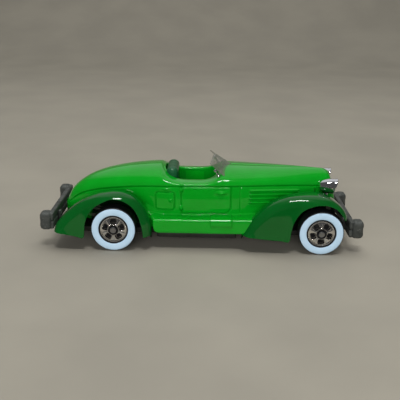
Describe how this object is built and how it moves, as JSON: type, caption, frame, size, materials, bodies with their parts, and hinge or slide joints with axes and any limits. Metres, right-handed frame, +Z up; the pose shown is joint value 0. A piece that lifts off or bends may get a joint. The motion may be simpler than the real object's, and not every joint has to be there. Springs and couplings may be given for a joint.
{
  "type": "diecast model car",
  "caption": "Small-scale diecast model of an open boat-tail roadster with pontoon fenders, V windshield, bullet headlamps, twin-bar bumpers and freely rolling whitewall wheels.",
  "frame": {"origin": "middle of the bounding box, on the surface that the wheels stand on", "axes": "+X front of the car, +Y its left side, +Z up"},
  "size_m": [0.079, 0.029, 0.0219],
  "materials": {
    "body_green": "thick gloss enamel over a zinc casting",
    "fender_green": "gloss dark green enamel",
    "bare_casting": "dull unpainted zinc casting",
    "rivet_metal": "peened dull metal",
    "axle_steel": "drawn wire",
    "interior_green": "gloss green",
    "seat_green": "moulded semi-gloss",
    "windshield_clear": "clear moulded plastic, slightly smoky",
    "lens_clear": "clear moulded plastic",
    "chrome_plastic": "vacuum-plated plastic",
    "bright_foil": "hot-stamped foil",
    "tyre_black": "moulded black, low sheen",
    "wheel_black": "moulded black",
    "whitewall": "bluish-white, satin"
  },
  "bodies": {
    "car": {"body_shell": "body_green", "chassis_base": "bare_casting", "dashboard": "seat_green", "fender_front_left": "fender_green", "fender_front_right": "fender_green", "fender_rear_left": "fender_green", "fender_rear_right": "fender_green", "front_bumper": "bare_casting", "front_rivet": "rivet_metal", "headlight_left": "chrome_plastic", "headlight_lens_left": "lens_clear", "headlight_lens_right": "lens_clear", "headlight_right": "chrome_plastic", "interior_tub": "interior_green", "radiator_grille": "chrome_plastic", "rear_bumper": "bare_casting", "rear_rivet": "rivet_metal", "seat": "seat_green", "steering_column": "seat_green", "steering_wheel": "seat_green", "windshield": "windshield_clear", "windshield_post_left": "chrome_plastic", "windshield_post_right": "chrome_plastic"},
    "front_axle": {"front_axle": "axle_steel"},
    "rear_axle": {"rear_axle": "axle_steel"},
    "wheel_front_left": {"tyre_front_left": "tyre_black", "whitewall_front_left": "whitewall", "wheel_core_front_left": "wheel_black", "rim_face_front_left": "bright_foil"},
    "wheel_front_right": {"tyre_front_right": "tyre_black", "whitewall_front_right": "whitewall", "wheel_core_front_right": "wheel_black", "rim_face_front_right": "bright_foil"},
    "wheel_rear_left": {"tyre_rear_left": "tyre_black", "whitewall_rear_left": "whitewall", "wheel_core_rear_left": "wheel_black", "rim_face_rear_left": "bright_foil"},
    "wheel_rear_right": {"tyre_rear_right": "tyre_black", "whitewall_rear_right": "whitewall", "wheel_core_rear_right": "wheel_black", "rim_face_rear_right": "bright_foil"}
  },
  "joints": [
    {"name": "front_axle_spin", "type": "hinge", "parent": "car", "child": "front_axle", "pos_m": [0.02905, 0, 0.0055], "axis": [0, 1, 0], "continuous": true},
    {"name": "rear_axle_spin", "type": "hinge", "parent": "car", "child": "rear_axle", "pos_m": [-0.02135, 0, 0.0055], "axis": [0, 1, 0], "continuous": true},
    {"name": "wheel_front_left_spin", "type": "hinge", "parent": "front_axle", "child": "wheel_front_left", "pos_m": [0.02905, 0.0121, 0.0055], "axis": [0, 1, 0], "continuous": true},
    {"name": "wheel_front_right_spin", "type": "hinge", "parent": "front_axle", "child": "wheel_front_right", "pos_m": [0.02905, -0.0121, 0.0055], "axis": [0, 1, 0], "continuous": true},
    {"name": "wheel_rear_left_spin", "type": "hinge", "parent": "rear_axle", "child": "wheel_rear_left", "pos_m": [-0.02135, 0.0121, 0.0055], "axis": [0, 1, 0], "continuous": true},
    {"name": "wheel_rear_right_spin", "type": "hinge", "parent": "rear_axle", "child": "wheel_rear_right", "pos_m": [-0.02135, -0.0121, 0.0055], "axis": [0, 1, 0], "continuous": true}
  ]
}
